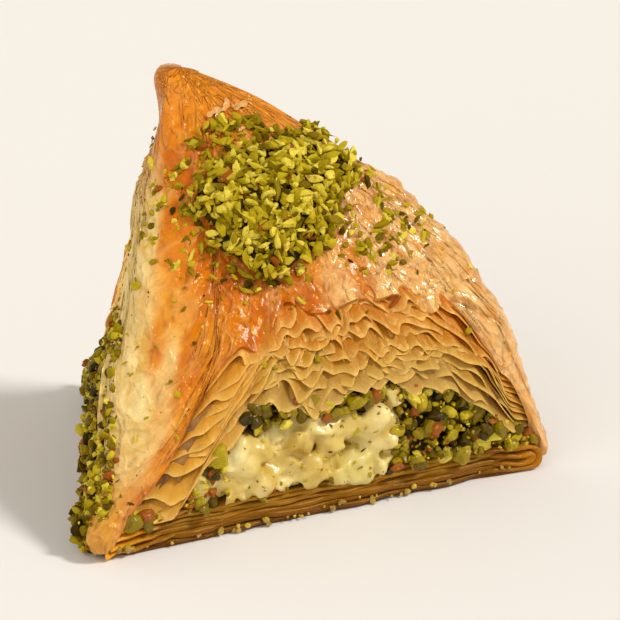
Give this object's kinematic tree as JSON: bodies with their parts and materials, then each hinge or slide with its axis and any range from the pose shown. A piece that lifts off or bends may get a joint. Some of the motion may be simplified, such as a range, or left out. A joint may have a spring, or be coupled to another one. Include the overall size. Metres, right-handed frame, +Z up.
{
  "type": "baklava piece",
  "caption": "Triangular puffed baklava piece: folded pastry leaves over cream and chopped pistachio, with a heap of pistachio crumbs near its tip.",
  "frame": {"origin": "middle of the footprint's bounding box, on the face it rests on", "axes": "+X along the open front edge to the right, +Y from the front mouth to the back corner, +Z up"},
  "size_m": [0.0662, 0.0504, 0.0518],
  "materials": {
    "baked_pastry": null,
    "cream": null,
    "pistachio": null
  },
  "bodies": {
    "root": {"pastry": "baked_pastry", "cream": "cream", "pistachio_filling": "pistachio", "pistachio_heap": "pistachio"}
  },
  "joints": []
}
